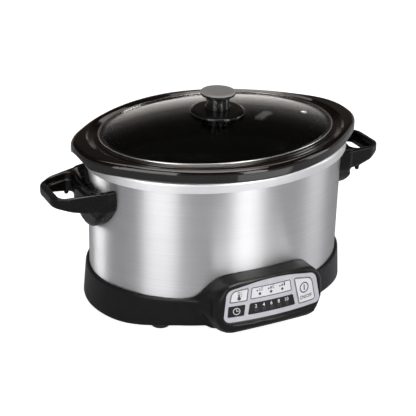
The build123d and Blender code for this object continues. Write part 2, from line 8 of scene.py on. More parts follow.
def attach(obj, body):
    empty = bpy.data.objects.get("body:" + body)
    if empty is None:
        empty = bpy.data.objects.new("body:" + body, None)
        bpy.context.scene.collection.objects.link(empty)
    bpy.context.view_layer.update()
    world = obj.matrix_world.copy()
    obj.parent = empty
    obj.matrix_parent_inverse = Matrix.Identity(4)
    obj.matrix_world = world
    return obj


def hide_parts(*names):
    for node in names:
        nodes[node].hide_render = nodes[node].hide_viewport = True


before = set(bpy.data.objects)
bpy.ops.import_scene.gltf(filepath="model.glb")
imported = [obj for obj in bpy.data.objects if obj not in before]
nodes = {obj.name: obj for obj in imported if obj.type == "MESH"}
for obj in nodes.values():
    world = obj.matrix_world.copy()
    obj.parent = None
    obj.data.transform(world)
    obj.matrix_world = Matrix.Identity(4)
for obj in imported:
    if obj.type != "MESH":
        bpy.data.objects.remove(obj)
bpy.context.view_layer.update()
scene = bpy.context.scene

# ------------------------------------------------------------------ shared sizes, in millimetres as in the CAD
YC = 12.7
SHELL_A, SHELL_B = 139.9, 109.4
PANEL_TILT = math.radians(9.9)
PANEL_R = 220.0
PANEL_O = np.array([0.0, -136.6, 47.0])
OVERLAY = [(-56.6, -18.2, 5.5), (56.4, -18.2, 5.5), (51.2, 14.2, 9.0), (0, 24.2, 170.0), (-51.4, 14.8, 9.0)]
TEMP_KEY = [(-49.6, 2.2, 1.5), (-31.4, 2.2, 1.5), (-29.0, 15.6, 1.5), (-46.9, 14.0, 7.0)]
HOURS_KEY = [(-52.0, -12.7, 0.8), (-35.5, -12.7, 0.8), (-33.5, -1.8, 0.8), (-50.4, -1.8, 0.8)]
POWER_KEY = [(27.8, -13.8, 1.5), (49.6, -13.8, 3.0), (45.6, 11.2, 8.0), (22.6, 15.2, 1.5)]
STEMS = [(-39.0, 8.2), (-42.8, -7.2), (36.6, -0.4)]
KEY_PROUD = 0.35

# ------------------------------------------------------------------ camera at the photograph's angle
CAM = dict(f=1250.0, az=-27.5, el=25.3, D=1348.9, u=-7.34, v=-11.5, roll=1.45)
az, el, roll = math.radians(CAM["az"]), math.radians(CAM["el"]), math.radians(CAM["roll"])
back = Vector((math.sin(az) * math.cos(el), -math.cos(az) * math.cos(el), math.sin(el)))
right = Vector((math.cos(az), math.sin(az), 0.0))
up = back.cross(right)
eye = Vector((0, YC, 100.0)) + right * CAM["u"] + up * CAM["v"] + back * CAM["D"]
r2 = right * math.cos(roll) + up * math.sin(roll)
u2 = up * math.cos(roll) - right * math.sin(roll)
cam_data = bpy.data.cameras.new("camera")
cam_data.sensor_fit = "HORIZONTAL"
cam_data.sensor_width = 36.0
cam_data.lens = CAM["f"] * 36.0 / 416.0
cam_data.clip_start, cam_data.clip_end = 0.05, 50.0
cam = bpy.data.objects.new("camera", cam_data)
scene.collection.objects.link(cam)
m = Matrix.Identity(4)
for i in range(3):
    m[i][0], m[i][1], m[i][2], m[i][3] = r2[i], u2[i], back[i], eye[i] / 1000.0
cam.matrix_world = m
scene.camera = cam
scene.view_settings.view_transform = "Standard"

# ------------------------------------------------------------------ studio settings (radiance of each panel, floor and surroundings)
FLOOR_GLOW = 0.85
BOUNCE = 0.72
# soft surroundings: height (sine of elevation) and radiance
WORLD = [(0.0, 0.85), (0.10, 0.62), (0.22, 0.26), (0.36, 0.07), (0.5, 0.03), (1.0, 0.03)]
LIGHTS = [
    ("left_panel", -53, 1.3, 0.02, 1.25, 0.70, 3.5),
    ("front_panel", 13, 1.3, 0.02, 1.25, 0.44, 4.5),
    ("right_panel", 70, 1.3, 0.02, 1.1, 0.46, 2.0),
]
# cards that are flagged off everything but the named pieces, with a warm tint
WARM = (1.0, 0.90, 0.83)
SHELL_CARDS = [("back_left_card", -130, 1.3, 0.02, 0.60, 0.52, 6.0)]
# place, aim, width, height, radiance: a fill over the pod for the shell, a soft box over the black mouldings, one for the flange
POD_FILL = ((0.0, -0.120, 0.0735), (0.0, -0.098, 0.115), 0.116, 0.030, 0.66)
MOULDING_TOP = ((0.05, 0.0, 1.5), (0.0, 0.0, 0.12), 1.6, 1.2, 11.0)
FLANGE_CARD = ((0.62, 0.91, 1.14), (0.0, 0.0, 0.15), 0.66, 0.42, 1.6)
# small soft boxes that the glass mirrors
GLINTS = [((0.527, 0.656, 0.558), (0.042, -0.011, 0.197), 0.034, 0.146, 0.28), ((0.651, 0.683, 0.371), (0.0965, -0.0015, 0.19), 0.0125, 0.025, 4.0)]
GLAZE_TOP = ((0.05, 0.0, 1.5), (0.0, 0.0, 0.12), 1.6, 1.2, 2.4)
FLANGE_FRONT = ((0.16, -0.47, 0.012), (0.16, -0.47, 1.0), 0.36, 0.26, 1.5)
# graded card behind the object, seen only in reflections: azimuth, distance, width, height, then (height, radiance) stops
BACK_CARD = (152, 1.2, 2.4, 1.4, [(0.0, 0.55), (0.19, 0.50), (0.274, 0.38), (0.38, 0.27), (0.489, 0.10), (0.627, 0.07), (0.75, 0.035), (0.883, 0.015), (1.4, 0.015)])
TOP = ((-0.10, -0.28, 1.6), (0.0, 0.0, 0.1), 1.3, 0.7, 3.0)

# ------------------------------------------------------------------ materials
def new_mat(name):
    mt = bpy.data.materials.new(name)
    mt.use_nodes = True
    nt = mt.node_tree
    return mt, nt, nt.nodes["Principled BSDF"]


def coords(nt, scale, kind="Object"):
    tc = nt.nodes.new("ShaderNodeTexCoord")
    mp = nt.nodes.new("ShaderNodeMapping")
    mp.inputs["Scale"].default_value = scale if isinstance(scale, tuple) else (scale, scale, scale)
    nt.links.new(tc.outputs[kind], mp.inputs["Vector"])
    return mp.outputs["Vector"]


def noise(nt, scale, detail=2.0, rough=0.5):
    n = nt.nodes.new("ShaderNodeTexNoise")
    n.inputs["Scale"].default_value = 1.0
    n.inputs["Detail"].default_value = detail
    n.inputs["Roughness"].default_value = rough
    nt.links.new(coords(nt, scale), n.inputs["Vector"])
    return n.outputs["Fac"]


def ramp(nt, fac, lo, hi, p0=0.3, p1=0.7):
    r = nt.nodes.new("ShaderNodeValToRGB")
    r.color_ramp.elements[0].position, r.color_ramp.elements[1].position = p0, p1
    r.color_ramp.elements[0].color = (*lo, 1.0) if isinstance(lo, tuple) else (lo, lo, lo, 1.0)
    r.color_ramp.elements[1].color = (*hi, 1.0) if isinstance(hi, tuple) else (hi, hi, hi, 1.0)
    nt.links.new(fac, r.inputs["Fac"])
    return r.outputs["Color"]


def bump(nt, bsdf, fac, strength, distance):
    b = nt.nodes.new("ShaderNodeBump")
    b.inputs["Strength"].default_value = strength
    b.inputs["Distance"].default_value = distance
    nt.links.new(fac, b.inputs["Height"])
    nt.links.new(b.outputs["Normal"], bsdf.inputs["Normal"])
    return b


def basic(name, lo, hi, r_lo, r_hi, metallic=0.0, scale=60.0, grain=None, grain_strength=0.1, grain_dist=0.0001, spec=0.5,
          coat=0.0, coat_rough=0.05, detail=3.0):
    """Two-tone mottled surface with its own roughness variation and an optional fine grain."""
    mt, nt, bs = new_mat(name)
    fac = noise(nt, scale, detail)
    nt.links.new(ramp(nt, fac, lo, hi), bs.inputs["Base Color"])
    nt.links.new(ramp(nt, noise(nt, scale * 2.3 if not isinstance(scale, tuple) else scale, detail), r_lo, r_hi), bs.inputs["Roughness"])
    bs.inputs["Metallic"].default_value = metallic
    bs.inputs["Specular IOR Level"].default_value = spec
    bs.inputs["Coat Weight"].default_value = coat
    bs.inputs["Coat Roughness"].default_value = coat_rough
    if grain:
        bump(nt, bs, noise(nt, grain, 2.0), grain_strength, grain_dist)
    return mt


M = {}
# brushed steel wall: long horizontal scratches round the oval
mt, nt, bs = new_mat("brushed_steel")
line = noise(nt, (9.0, 9.0, 2600.0), 3.0, 0.6)
cloud = noise(nt, (5.0, 5.0, 60.0), 2.0)
nt.links.new(ramp(nt, line, (0.63, 0.63, 0.64), (0.73, 0.73, 0.74)), bs.inputs["Base Color"])
nt.links.new(ramp(nt, cloud, 0.39, 0.44), bs.inputs["Roughness"])
bs.inputs["Metallic"].default_value = 1.0
bs.inputs["Anisotropic"].default_value = 0.9
bs.inputs["Anisotropic Rotation"].default_value = 0.25
tan = nt.nodes.new("ShaderNodeTangent")
tan.direction_type, tan.axis = "RADIAL", "Z"
nt.links.new(tan.outputs["Tangent"], bs.inputs["Tangent"])
bump(nt, bs, line, 0.06, 0.00008)
M["brushed_steel"] = mt
M["rim_steel"] = basic("rim_steel", (0.86, 0.86, 0.865), (0.93, 0.93, 0.93), 0.42, 0.5, 1.0, 40.0, grain=(30.0, 30.0, 900.0), grain_strength=0.04)
M["polished_steel"] = basic("polished_steel", (0.70, 0.685, 0.67), (0.77, 0.755, 0.74), 0.20, 0.26, 1.0, 50.0)
M["zinc_steel"] = basic("zinc_steel", (0.5, 0.5, 0.48), (0.66, 0.65, 0.62), 0.28, 0.42, 1.0, 220.0, grain=1500.0, grain_strength=0.05)
# glazed stoneware: almost black with a warm brown cast, wavy clear glaze on top
mt, nt, bs = new_mat("crock_glaze")
nt.links.new(ramp(nt, noise(nt, 55.0, 4.0), (0.0024, 0.0016, 0.0013), (0.0048, 0.0031, 0.0024)), bs.inputs["Base Color"])
nt.links.new(ramp(nt, noise(nt, 130.0, 3.0), 0.07, 0.11), bs.inputs["Roughness"])
bs.inputs["Specular IOR Level"].default_value = 0.42
bs.inputs["Coat Weight"].default_value = 0.25
bs.inputs["Coat Roughness"].default_value = 0.04
bump(nt, bs, noise(nt, 90.0, 2.0), 0.014, 0.0004)
M["crock_glaze"] = mt
M["black_phenolic"] = basic("black_phenolic", (0.0016, 0.0015, 0.0015), (0.0028, 0.0027, 0.0027), 0.24, 0.32, 0.0, 90.0, grain=1400.0, grain_strength=0.03, spec=0.2)
# knob: glossy moulded sides and a satin crown; the crown's base colour is painted much lighter than the rest as a
# painted sheen
mt, nt, bs = new_mat("knob_phenolic")
tc = nt.nodes.new("ShaderNodeTexCoord")
sep = nt.nodes.new("ShaderNodeSeparateXYZ")
mr = nt.nodes.new("ShaderNodeMapRange")
nt.links.new(tc.outputs["Object"], sep.inputs["Vector"])
nt.links.new(sep.outputs["Z"], mr.inputs["Value"])
for key, val in (("From Min", 0.2205), ("From Max", 0.2216), ("To Min", 0.0), ("To Max", 1.0)):
    mr.inputs[key].default_value = val
crown_satin_and_painted_sheen = mr.outputs["Result"]
# painted sheen: the crown's colour is lifted to grey to stand in for the light its top reflects
nt.links.new(ramp(nt, crown_satin_and_painted_sheen, (0.0050, 0.0046, 0.0044), (0.300, 0.287, 0.280), 0.0, 1.0), bs.inputs["Base Color"])
nt.links.new(ramp(nt, crown_satin_and_painted_sheen, 0.13, 0.42, 0.0, 1.0), bs.inputs["Roughness"])
bump(nt, bs, noise(nt, 1100.0, 3.0), 0.08, 0.0001)
M["knob_phenolic"] = mt
M["disc_phenolic"] = basic("disc_phenolic", (0.0045, 0.0042, 0.0041), (0.0075, 0.0070, 0.0068), 0.12, 0.2, 0.0, 120.0, grain=1500.0, grain_strength=0.03)
M["base_plastic"] = basic("base_plastic", (0.0038, 0.0038, 0.0040), (0.0062, 0.0061, 0.0064), 0.29, 0.36, 0.0, 70.0, grain=1900.0, grain_strength=0.08, spec=0.18)
M["black_rubber"] = basic("black_rubber", (0.014, 0.014, 0.014), (0.024, 0.024, 0.024), 0.55, 0.75, 0.0, 150.0, grain=1200.0, grain_strength=0.15)
M["plate_metal"] = basic("plate_metal", (0.03, 0.03, 0.031), (0.045, 0.045, 0.047), 0.45, 0.6, 0.3, 60.0, grain=900.0, grain_strength=0.1)
M["mica"] = basic("mica", (0.36, 0.31, 0.24), (0.5, 0.45, 0.36), 0.4, 0.6, 0.0, 140.0, grain=600.0, grain_strength=0.2)
M["fuse_metal"] = basic("fuse_metal", (0.6, 0.6, 0.58), (0.72, 0.72, 0.7), 0.25, 0.35, 1.0, 200.0)
M["board_green"] = basic("board_green", (0.02, 0.13, 0.05), (0.035, 0.19, 0.075), 0.3, 0.42, 0.0, 240.0, grain=1500.0, grain_strength=0.05)
M["component_black"] = basic("component_black", (0.018, 0.018, 0.018), (0.03, 0.03, 0.03), 0.4, 0.55, 0.0, 300.0)
M["lamp_lens"] = basic("lamp_lens", (0.5, 0.08, 0.05), (0.6, 0.12, 0.08), 0.12, 0.2, 0.0, 300.0, coat=0.3)
M["standoff_nylon"] = basic("standoff_nylon", (0.7, 0.69, 0.64), (0.8, 0.79, 0.74), 0.4, 0.5, 0.0, 200.0)
M["transformer_core"] = basic("transformer_core", (0.10, 0.10, 0.105), (0.2, 0.2, 0.21), 0.35, 0.5, 0.6, (20.0, 20.0, 900.0))
M["ribbon_grey"] = basic("ribbon_grey", (0.42, 0.42, 0.42), (0.55, 0.55, 0.55), 0.4, 0.5, 0.0, (900.0, 30.0, 30.0))
M["lead_sleeve"] = basic("lead_sleeve", (0.66, 0.63, 0.56), (0.8, 0.78, 0.72), 0.6, 0.8, 0.0, 900.0, grain=1800.0, grain_strength=0.3)
M["panel_print"] = basic("panel_print", (0.50, 0.49, 0.535), (0.56, 0.55, 0.59), 0.32, 0.40, 0.0, 110.0, grain=2600.0, grain_strength=0.04)
M["key_light"] = basic("key_light", (0.70, 0.69, 0.72), (0.76, 0.75, 0.775), 0.30, 0.38, 0.0, 110.0, grain=2600.0, grain_strength=0.03)
M["key_dark"] = basic("key_dark", (0.006, 0.0058, 0.0064), (0.0095, 0.0092, 0.0100), 0.34, 0.42, 0.0, 110.0, grain=2600.0, grain_strength=0.03, spec=0.32)
M["ink_dark"] = basic("ink_dark", (0.045, 0.045, 0.05), (0.065, 0.065, 0.07), 0.35, 0.45, 0.0, 200.0)
M["ink_window"] = basic("ink_window", (0.006, 0.0058, 0.0064), (0.0095, 0.0092, 0.0100), 0.34, 0.42, 0.0, 110.0, spec=0.32)
M["ink_light"] = basic("ink_light", (0.70, 0.69, 0.72), (0.76, 0.75, 0.775), 0.32, 0.40, 0.0, 110.0)
M["ink_lamp"] = basic("ink_lamp", (0.10, 0.095, 0.10), (0.13, 0.125, 0.13), 0.2, 0.3, 0.0, 300.0)
# lid glass: clear, faintly smoked, with a few faint streaks in its polish
mt, nt, bs = new_mat("lid_glass")
bs.inputs["Base Color"].default_value = (0.93, 0.94, 0.93, 1.0)
bs.inputs["Transmission Weight"].default_value = 1.0
bs.inputs["IOR"].default_value = 1.43
nt.links.new(ramp(nt, noise(nt, 25.0, 2.0), 0.0, 0.025), bs.inputs["Roughness"])
M["lid_glass"] = mt

node_mat = {
    "outer_shell": "brushed_steel", "heating_well": "rim_steel", "lid_band": "polished_steel", "glass_lid": "lid_glass", "crock": "crock_glaze",
    "lid_knob": "knob_phenolic", "knob_escutcheon": "disc_phenolic", "left_handle": "black_phenolic", "right_handle": "black_phenolic",
    "base_skirt": "base_plastic", "base_plate": "plate_metal", "feet": "black_rubber", "cord_gland": "black_rubber", "knob_washer": "black_rubber",
    "heater_band": "mica", "thermal_fuse": "fuse_metal", "temp_sensor": "fuse_metal", "control_overlay": "panel_print", "temp_key": "key_light",
    "power_key": "key_light", "hours_key": "key_dark", "control_board": "board_green", "power_board": "board_green",
    "switch_bodies": "component_black", "relay": "component_black", "temp_plunger": "component_black", "hours_plunger": "component_black",
    "power_plunger": "component_black", "heat_leds": "lamp_lens", "time_leds": "lamp_lens", "board_standoffs": "standoff_nylon",
    "terminal_block": "standoff_nylon", "transformer": "transformer_core", "ribbon_cable": "ribbon_grey", "heater_leads": "lead_sleeve"}
for name, ob in nodes.items():
    ob.data.materials.clear()
    ob.data.materials.append(M[node_mat.get(name, "zinc_steel")])


# ------------------------------------------------------------------ mesh helpers
def add_mesh(name, verts_mm, faces, mat, body, smooth=True, normals=None):
    """verts in millimetres about the oval's centre; the piece is placed in the row frame in metres."""
    v = np.asarray(verts_mm, float).copy()
    v[:, 1] += YC
    v /= 1000.0
    me = bpy.data.meshes.new(name)
    me.from_pydata(v.tolist(), [], [tuple(int(i) for i in f) for f in faces])
    me.update()
    if smooth:
        me.polygons.foreach_set("use_smooth", [True] * len(me.polygons))
    if normals is not None:
        me.normals_split_custom_set_from_vertices(np.asarray(normals, float).tolist())
    ob = bpy.data.objects.new(name, me)
    scene.collection.objects.link(ob)
    me.materials.append(M[mat])
    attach(ob, body)
    return ob


def smin(a, b, k):
    h = np.clip(0.5 + 0.5 * (b - a) / k, 0.0, 1.0)
    return b * (1 - h) + a * h - k * h * (1 - h)


def smax(a, b, k):
    return -smin(-a, -b, k)


def oval_d(x, y, a, b):
    k0 = np.sqrt((x / a) ** 2 + (y / b) ** 2)
    k1 = np.sqrt((x / a ** 2) ** 2 + (y / b ** 2) ** 2)
    return k0 * (k0 - 1.0) / np.maximum(k1, 1e-9)


def outline_points(pts, arc=10):
    """Closed polygon of (x, y, corner radius) as a dense list of points."""
    out = []
    n = len(pts)
    for i in range(n):
        x, y, r = pts[i]
        ux, uy = pts[i - 1][0] - x, pts[i - 1][1] - y
        vx, vy = pts[(i + 1) % n][0] - x, pts[(i + 1) % n][1] - y
        lu, lv = math.hypot(ux, uy), math.hypot(vx, vy)
        ux, uy, vx, vy = ux / lu, uy / lu, vx / lv, vy / lv
        if r <= 0:
            out.append((x, y))
            continue
        ang = math.acos(max(-1.0, min(1.0, ux * vx + uy * vy)))
        t = r / math.tan(ang / 2)
        bx, by = ux + vx, uy + vy
        lb = math.hypot(bx, by)
        cx, cy = x + bx / lb * r / math.sin(ang / 2), y + by / lb * r / math.sin(ang / 2)
        a0 = math.atan2(y + uy * t - cy, x + ux * t - cx)
        a1 = math.atan2(y + vy * t - cy, x + vx * t - cx)
        da = (a1 - a0 + math.pi) % (2 * math.pi) - math.pi
        for k in range(arc + 1):
            aa = a0 + da * k / arc
            out.append((cx + r * math.cos(aa), cy + r * math.sin(aa)))
    return np.array(out)


def poly_d(px, py, poly):
    """Signed distance to a closed polygon, negative inside."""
    shape = px.shape
    px, py = px.ravel(), py.ravel()
    best = np.full(px.shape, 1e18)
    inside = np.zeros(px.shape, bool)
    q = np.roll(poly, -1, 0)
    for (x0, y0), (x1, y1) in zip(poly, q):
        ex, ey = x1 - x0, y1 - y0
        wx, wy = px - x0, py - y0
        t = np.clip((wx * ex + wy * ey) / max(ex * ex + ey * ey, 1e-12), 0, 1)
        best = np.minimum(best, (wx - ex * t) ** 2 + (wy - ey * t) ** 2)
        if y0 != y1:
            c = (y0 > py) != (y1 > py)
            xi = (x1 - x0) * (py - y0) / (y1 - y0) + x0
            inside ^= c & (px < xi)
    return np.where(inside, -1.0, 1.0).reshape(shape) * np.sqrt(best).reshape(shape)


def surface(f, lo, hi, h):
    """Quad mesh of f = 0 on a grid of step h, vertices pulled onto the surface."""
    axes = [np.arange(lo[i], hi[i] + h * 1.01, h) for i in range(3)]
    V = np.empty([len(a) for a in axes], np.float32)
    X, Y = np.meshgrid(axes[0], axes[1], indexing="ij")
    for k, z in enumerate(axes[2]):
        V[:, :, k] = f(X, Y, np.full_like(X, z))
    neg = V < 0
    n = np.array(V.shape) - 1
    cnt = np.zeros(n, np.int8)
    for dx in (0, 1):
        for dy in (0, 1):
            for dz in (0, 1):
                cnt += neg[dx:dx + n[0], dy:dy + n[1], dz:dz + n[2]]
    cell = np.argwhere((cnt > 0) & (cnt < 8))
    idx = np.full(n, -1, np.int64)
    idx[tuple(cell.T)] = np.arange(len(cell))
    acc = np.zeros((len(cell), 3))
    num = np.zeros(len(cell))
    corner = [np.array(c) for c in ((0, 0, 0), (1, 0, 0), (0, 1, 0), (1, 1, 0), (0, 0, 1), (1, 0, 1), (0, 1, 1), (1, 1, 1))]
    for a, b in ((0, 1), (2, 3), (4, 5), (6, 7), (0, 2), (1, 3), (4, 6), (5, 7), (0, 4), (1, 5), (2, 6), (3, 7)):
        va = V[tuple((cell + corner[a]).T)].astype(float)
        vb = V[tuple((cell + corner[b]).T)].astype(float)
        cr = (va < 0) != (vb < 0)
        t = np.where(cr, va / np.where(cr, va - vb, 1.0), 0.0)
        acc += np.where(cr[:, None], corner[a] + (corner[b] - corner[a]) * t[:, None], 0.0)
        num += cr
    P = (cell + acc / num[:, None]) * h + np.array(lo)
    faces = []
    for ax in range(3):
        b1, b2 = (ax + 1) % 3, (ax + 2) % 3
        s0 = [slice(None)] * 3
        s1 = [slice(None)] * 3
        s0[ax], s1[ax] = slice(0, -1), slice(1, None)
        d = neg[tuple(s0)].astype(np.int8) - neg[tuple(s1)].astype(np.int8)
        e = np.argwhere(d != 0)
        keep = (e[:, b1] > 0) & (e[:, b2] > 0) & (e[:, b1] < n[b1]) & (e[:, b2] < n[b2])
        e = e[keep]
        sgn = d[tuple(e.T)]
        q = []
        for o1, o2 in ((-1, -1), (0, -1), (0, 0), (-1, 0)):
            c = e.copy()
            c[:, b1] += o1
            c[:, b2] += o2
            q.append(idx[tuple(c.T)])
        q = np.stack(q, 1)
        q = np.where((sgn > 0)[:, None], q, q[:, ::-1])
        faces.append(q[(q >= 0).all(1)])
    faces = np.concatenate(faces)
    eps = 0.02

    def grad(p):
        g = np.empty_like(p)
        for i in range(3):
            dp = np.zeros(3)
            dp[i] = eps
            g[:, i] = (f(*(p + dp).T) - f(*(p - dp).T)) / (2 * eps)
        return g

    for _ in range(4):
        g = grad(P)
        step = f(*P.T)[:, None] * g / np.maximum((g ** 2).sum(1, keepdims=True), 0.05)
        ln = np.linalg.norm(step, axis=1, keepdims=True)
        P = P - step * np.minimum(1.0, 0.5 * h / np.maximum(ln, 1e-9))
    g = grad(P)
    g /= np.maximum(np.linalg.norm(g, axis=1, keepdims=True), 1e-9)
    return P, faces, g


# ------------------------------------------------------------------ panel frame
N_OUT = np.array([0.0, -math.cos(PANEL_TILT), math.sin(PANEL_TILT)])
W_UP = np.array([0.0, math.sin(PANEL_TILT), math.cos(PANEL_TILT)])


def sag(u):
    return PANEL_R - np.sqrt(PANEL_R ** 2 - u * u)


def on_panel(u, w, lift):
    """Point of the panel's curved face, raised by lift."""
    u, w = np.asarray(u, float), np.asarray(w, float)
    n = -sag(u) + lift
    return PANEL_O + np.stack([u, 0 * u, 0 * u], -1) + w[..., None] * W_UP + n[..., None] * N_OUT


# ------------------------------------------------------------------ base moulding with its control pod, as one smooth moulded skin
OVERLAY_XY = outline_points(OVERLAY, 8)
TOP_X = np.arange(0.0, 100.0, 0.1)
top_raw = np.interp(TOP_X, [0, 20, 38, 49.5, 57, 63.8, 71.5, 80, 100], [68.2, 68.0, 67.2, 64.3, 58.0, 49.5, 42.0, 38.4, 34.0])
kern = np.exp(-0.5 * (np.arange(-90, 91) * 0.1 / 3.0) ** 2)
kern /= kern.sum()
TOP_Z = np.convolve(np.concatenate([top_raw[90:0:-1], top_raw, top_raw[-1] - (top_raw[-2] - top_raw[-1]) * np.arange(1, 91)]), kern, "valid")
TOP_S = np.gradient(TOP_Z, 0.1)


def step01(t):
    t = np.clip(t, 0.0, 1.0)
    return t * t * (3 - 2 * t)


def pod_d(x, y, z, inset):
    ax = np.abs(x)
    ry, rz = y - PANEL_O[1], z - PANEL_O[2]
    w = ry * W_UP[1] + rz * W_UP[2]
    n = ry * N_OUT[1] + rz * N_OUT[2]
    h = np.full(np.shape(x), 1.2)
    if inset > 0:
        h -= 3.8
    else:
        near = (ax < 63) & (np.abs(w) < 29) & (n > -16)
        if near.any():
            d2 = poly_d(x[near], w[near], OVERLAY_XY)
            h[near] = -2.6 + 3.8 * step01((d2 + 3.0) / 4.9)
    # narrow lip under the panel frame
    h = h + 1.6 * step01((-20.9 - w) / 1.0) * step01((48.6 - ax) / 1.6)
    drum = np.sqrt(x * x + (n + PANEL_R) ** 2) - PANEL_R
    front = drum - h
    t = np.clip((y + 118.0) / 21.0, 0, 4)
    flare = np.where(t < 1, t * t, 2 * t - 1)
    half = 60.8 + 2.7 * np.clip((y + 150.0) / 38.0, 0, 1) + 12.0 * flare
    slope = 12.0 / 21.0 * 2 * np.minimum(t, 1)
    side = (ax - half) / np.sqrt(1 + slope ** 2)
    zt = np.interp(ax, TOP_X, TOP_Z) + 0.0875 * np.maximum(-SHELL_B - y, 0.0)
    st = np.interp(ax, TOP_X, TOP_S)
    top = (z - zt) / np.sqrt(1.008 + st ** 2)
    under = (8.4 + (-122.0 - y) * 0.5623 - z) * 0.8716
    d = smax(front, side, 10.0)
    d = smax(d, top, 6.0)
    # the lower corners are cut away on the slant
    d = smax(d, (ax - 60.8) * 0.78 - (w + np.where(x < 0, 23.0, 14.0)) * 0.626, 6.0)
    d = smax(d, under, 7.0)
    d = smax(d, 8.2 - z, 2.0)
    d = smax(d, y + 84.0, 10.0)
    return d + inset


def skirt_d(x, y, z):
    A = 146.7 + (z - 9.2) * (144.0 - 146.7) / 29.2
    B = 112.8 + (z - 9.2) * (112.5 - 112.8) / 29.2
    wall = oval_d(x, y, A, B) * 0.99
    ring = smax(wall, z - 40.2, 0.7)
    ring = smax(ring, (wall + (z - 40.2) + 1.5) * 0.7071, 0.8)
    # the lower edge drops at the two ends and arches up between each front foot and the pod
    arch = 2.8 * step01((118.0 - np.abs(x)) / 35.0) * step01((np.abs(x) - 54.0) / 8.0) * step01(-y / 40.0)
    ends = 3.8 * step01((np.abs(x) - 104.0) / 34.0)
    ring = smax(ring, 7.0 + arch - ends - z, 2.2)
    pod = pod_d(x, y, z, 0.0)
    d = smin(ring, pod, 5.0)
    shell = oval_d(x, y, SHELL_A + 0.2, SHELL_B + 0.2)
    socket = np.maximum(shell, 33.45 - z)
    ia = np.interp(z, [14.0, 30.5], [144.7, 141.6])
    ib = np.interp(z, [14.0, 30.5], [109.9, 109.6])
    cav = np.maximum(oval_d(x, y, ia, ib), z - 30.5)
    hole = oval_d(x, y, 134.5, 102.8)
    podcav = np.maximum(pod_d(x, y, z, 2.8), 3.0 - shell)
    podcav = np.maximum(podcav, 11.2 - z)
    inner = np.minimum(np.minimum(socket, cav), np.minimum(hole, podcav))
    d = np.maximum(d, -inner)
    ry, rz = y - PANEL_O[1], z - PANEL_O[2]
    w = ry * W_UP[1] + rz * W_UP[2]
    n = ry * N_OUT[1] + rz * N_OUT[2]
    for su, sw in STEMS:
        d = np.maximum(d, -np.maximum(np.sqrt((x - su) ** 2 + (w - sw) ** 2) - 2.9, -16.0 - n))
    return d


P, F, G = surface(skirt_d, (-150.0, -149.0, 1.6), (150.0, 115.0, 74.0), 1.0)
skirt = add_mesh("base_moulding", P, F, "base_plastic", "housing", normals=G)
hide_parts("base_skirt")


# ------------------------------------------------------------------ loop handles: one moulding, turned round for the other end
H_OUT = outline_points([(120, -41.5, 0), (146, -38.6, 30), (176, -31.4, 20), (191.6, -19.5, 15), (191.6, 19.5, 15), (176, 31.4, 20), (146, 38.6, 30), (120, 41.5, 0)], 8)
H_HOLE = outline_points([(152.8, -28, 6), (181, -23, 9), (181, 23, 9), (152.8, 28, 6), (156.4, 9, 60), (156.4, -9, 60)], 8)
H_DISH = outline_points([(150.6, -31.5, 7), (184.6, -25.5, 10), (184.6, 25.5, 10), (150.6, 31.5, 7), (154.2, 9, 60), (154.2, -9, 60)], 8)
TROUGH_R = (34.0 ** 2 + 8.0 ** 2) / 16.0


def handle_d(X, Y, Z):
    out = poly_d(X, Y, H_OUT)
    hole = poly_d(X, Y, H_HOLE)
    dish = poly_d(X, Y, H_DISH)
    # the top falls outwards, with a hollow beside the shell
    yy = np.minimum(np.abs(Y), 60.0)
    plane = 146.5 - 0.0805 * (X - 135.0)
    hollow = 137.5 + TROUGH_R - np.sqrt(TROUGH_R ** 2 - yy ** 2) + 20.0 * step01((X - 149.0) / 9.0)
    ztop = smin(plane, hollow, 1.2)
    under = (124.3 + 0.185 * np.maximum(X - 160.0, 0.0) - Z) * 0.98
    loop = smax(smax(out, Z - ztop, 2.4), under, 5.0)
    loop = smax(loop, -hole, 2.6)
    loop = smax(loop, -np.maximum(dish, (plane - 7.0) - Z), 1.8)
    low = np.sqrt(Y ** 2 + np.minimum(Z - 139.5, 0.0) ** 2) - 41.8 + 1.6 * step01((Z - 128.0) / 18.0)
    # the boss reaches out less beside the arms than under them
    reach = 149.6 - 5.6 * step01((Z - 114.0) / 14.0)
    boss = smax(smax(low, X - reach, 5.0), Z - ztop, 2.4)
    d = smin(loop, boss, 3.0)
    peg = np.sqrt((X - 157.0) ** 2 + (Y - 31.8) ** 2 + (Z - np.clip(Z, 121.8, 131.0)) ** 2) - 2.4
    d = smin(d, peg, 1.4)
    return np.maximum(d, -oval_d(X, Y + 3.0, SHELL_A + 0.05, SHELL_B + 0.05))


P, F, G = surface(handle_d, (118.0, -50.0, 94.0), (193.0, 50.0, 149.0), 0.8)
left = np.stack([-P[:, 0], P[:, 1] + 3.0, P[:, 2]], 1)
left_n = np.stack([-G[:, 0], G[:, 1], G[:, 2]], 1)
h1 = add_mesh("handle_left", left, F[:, ::-1], "black_phenolic", "housing", normals=left_n)
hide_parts("left_handle")
right_v = left * np.array([-1.0, -1.0, 1.0])
h2 = add_mesh("handle_right", right_v, F[:, ::-1], "black_phenolic", "housing", normals=left_n * np.array([-1.0, -1.0, 1.0]))
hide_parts("right_handle")


# ------------------------------------------------------------------ rolled steel channel round the glass edge
def sweep(profile, ratio, n):
    """A closed outline of (radius, height) carried round the oval, with its own smooth normals."""
    k = len(profile)
    t = np.arange(n) * 2 * math.pi / n
    tan = np.roll(profile, -1, 0) - np.roll(profile, 1, 0)
    tan /= np.linalg.norm(tan, axis=1, keepdims=True)
    nr, nz = tan[:, 1], -tan[:, 0]
    r, z = profile[:, 0], profile[:, 1]
    P = np.stack([np.outer(np.cos(t), r), ratio * np.outer(np.sin(t), r), np.outer(np.ones(n), z)], -1).reshape(-1, 3)
    N = np.stack([np.outer(np.cos(t), nr), np.outer(np.sin(t), nr) / ratio, np.outer(np.ones(n), nz)], -1).reshape(-1, 3)
    N /= np.linalg.norm(N, axis=1, keepdims=True)
    i, j = np.meshgrid(np.arange(n), np.arange(k), indexing="ij")
    i2, j2 = (i + 1) % n, (j + 1) % k
    F = np.stack([i * k + j, i2 * k + j, i2 * k + j2, i * k + j2], -1).reshape(-1, 4)
    return P, F, N


